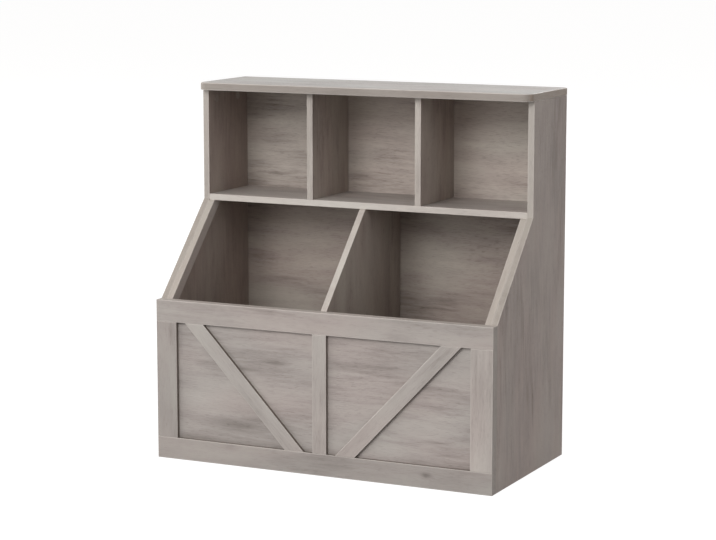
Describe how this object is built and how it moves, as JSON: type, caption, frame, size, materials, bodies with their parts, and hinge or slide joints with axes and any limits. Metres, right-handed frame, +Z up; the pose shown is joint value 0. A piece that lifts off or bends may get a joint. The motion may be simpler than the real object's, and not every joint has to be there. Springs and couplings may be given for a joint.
{
  "type": "toy storage organizer",
  "caption": "Toy organizer for a child's room: open cubbies over open bins, sides that slope back from a low front dressed with rails, stiles and braces, in grey washed wood.",
  "frame": {"origin": "on the floor, under the middle of the object's overall box", "axes": "+Z up; +X to the right for someone facing the front; +Y towards the back, so the braced front faces -Y"},
  "size_m": [0.85, 0.435, 0.87],
  "materials": {
    "wood_upright": "grey washed wood-grain surface, grain upright, satin",
    "wood_level": "grey washed wood-grain surface, grain along the width, satin",
    "wood_brace": "grey washed wood-grain surface, grain along the brace, satin",
    "wood_batten": "grey washed wood-grain surface, grain along the slope, satin",
    "back_sheet": "thin hardboard with the same grey wash, grain along the width",
    "cam_zinc": "plain zinc casting",
    "bolt_steel": "bright plated",
    "screw_steel": "bright plated",
    "cover_vinyl": "thin stick-on disc printed like the wash",
    "dowel_beech": "bare beech"
  },
  "bodies": {
    "root": {"side_panel_left": "wood_upright", "side_panel_right": "wood_upright", "cubby_divider_left": "wood_upright", "cubby_divider_right": "wood_upright", "bin_divider": "wood_upright", "front_stile_left": "wood_upright", "front_stile_centre": "wood_upright", "front_stile_right": "wood_upright", "top_panel": "wood_level", "cubby_shelf": "wood_level", "bottom_panel": "wood_level", "rear_plinth": "wood_level", "front_panel": "wood_level", "front_rail_bottom": "wood_level", "front_rail_top": "wood_level", "front_brace_left": "wood_brace", "front_brace_right": "wood_brace", "slope_batten_left": "wood_batten", "slope_batten_right": "wood_batten", "back_panel_lower": "back_sheet", "back_panel_upper": "back_sheet", "cam_locks": "cam_zinc", "cam_bolts": "bolt_steel", "bin_divider_screws": "screw_steel", "cam_covers": "cover_vinyl", "wood_dowels": "dowel_beech", "batten_dowels": "dowel_beech"}
  },
  "joints": []
}
